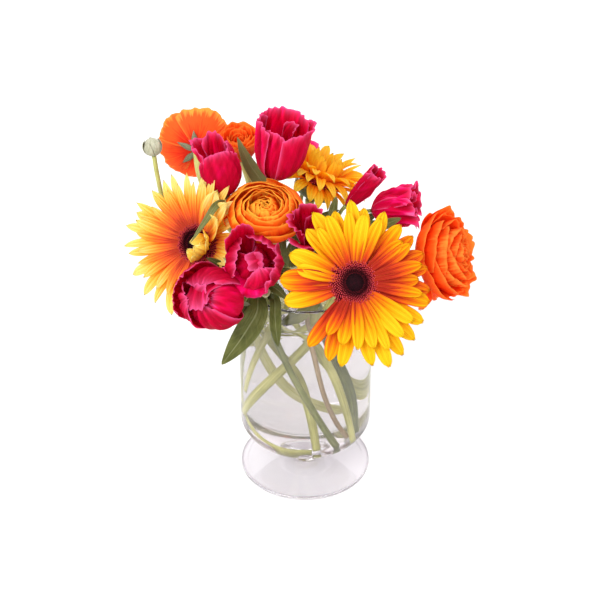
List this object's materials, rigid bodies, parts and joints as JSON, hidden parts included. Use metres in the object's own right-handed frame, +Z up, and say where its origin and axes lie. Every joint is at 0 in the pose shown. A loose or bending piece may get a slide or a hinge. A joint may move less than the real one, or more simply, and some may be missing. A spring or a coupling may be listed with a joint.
{
  "type": "mixed bouquet in a vase",
  "caption": "Mixed bouquet of gerberas, ranunculus and godetia with their buds and leaves, standing in a footed clear glass vase of water.",
  "frame": {"origin": "centre of the underside of the vase's foot, on the surface that it stands on", "axes": "+Z up along the vase's axis; the bouquet's front faces -Y, with +X to the right of a person who looks at it"},
  "size_m": [0.2396, 0.1933, 0.2927],
  "materials": {
    "glass": "clear polished glass with a faint lilac tint",
    "water": "clear still water",
    "florets": "dark maroon packed florets, matte",
    "bract": "green bracts, matte",
    "ray_outer": "satin yellow petals, orange to red at the base",
    "ray_inner": "satin yellow petals, orange to red at the base",
    "ranunculus_petal": "satin orange petals",
    "ranunculus_heart": "satin orange petals, tightly rolled",
    "godetia_petal": "silky crimson-pink petals",
    "sepal": "grey-green sepals, matte",
    "pale_stem": "pale yellow-green stem, waxy",
    "dark_stem": "olive green stem, waxy",
    "leaf": "olive green leaf, matte",
    "godetia_bud": "beige-olive bud, matte",
    "ranunculus_bud": "grey-green bud, matte"
  },
  "bodies": {
    "root": {"vase": "glass", "gerbera_front_bracts": "bract", "gerbera_front_outer_rays": "ray_outer", "gerbera_front_inner_rays": "ray_inner", "gerbera_front_florets": "florets", "gerbera_front_stem": "pale_stem", "gerbera_left_bracts": "bract", "gerbera_left_outer_rays": "ray_outer", "gerbera_left_inner_rays": "ray_inner", "gerbera_left_florets": "florets", "gerbera_left_stem": "pale_stem", "gerbera_back_bracts": "bract", "gerbera_back_outer_rays": "ray_outer", "gerbera_back_inner_rays": "ray_inner", "gerbera_back_florets": "florets", "gerbera_back_stem": "pale_stem", "ranunculus_middle_sepals": "sepal", "ranunculus_middle_outer_petals": "ranunculus_petal", "ranunculus_middle_inner_petals": "ranunculus_petal", "ranunculus_middle_heart": "ranunculus_heart", "ranunculus_middle_stem": "pale_stem", "ranunculus_right_sepals": "sepal", "ranunculus_right_outer_petals": "ranunculus_petal", "ranunculus_right_inner_petals": "ranunculus_petal", "ranunculus_right_heart": "ranunculus_heart", "ranunculus_right_stem": "pale_stem", "ranunculus_nodding_sepals": "sepal", "ranunculus_nodding_outer_petals": "ranunculus_petal", "ranunculus_nodding_heart": "ranunculus_heart", "ranunculus_nodding_stem": "pale_stem", "ranunculus_small_outer_petals": "ranunculus_petal", "ranunculus_small_heart": "ranunculus_heart", "ranunculus_small_stem": "pale_stem", "ranunculus_bud_stem": "pale_stem", "ranunculus_bud": "ranunculus_bud", "godetia_left_stem": "dark_stem", "godetia_middle_stem": "dark_stem", "godetia_right_stem": "dark_stem", "godetia_tulip_bloom": "godetia_petal", "godetia_tall_bloom": "godetia_petal", "godetia_rear_bloom": "godetia_petal", "godetia_rolled_bloom": "godetia_petal", "godetia_side_bloom": "godetia_petal", "godetia_folded_bloom": "godetia_petal", "godetia_open_bloom": "godetia_petal", "godetia_low_bloom": "godetia_petal", "godetia_bud": "godetia_bud", "godetia_young_bud": "godetia_bud", "godetia_tulip_calyx": "sepal", "godetia_low_calyx": "sepal", "leaf_tall": "leaf", "leaf_crossing": "leaf", "leaf_hanging": "leaf", "leaf_narrow": "leaf", "leaf_dipping": "leaf", "leaf_upright": "leaf", "leaf_inner": "leaf", "leaf_front": "leaf", "leaf_right": "leaf", "water": "water"}
  },
  "joints": []
}
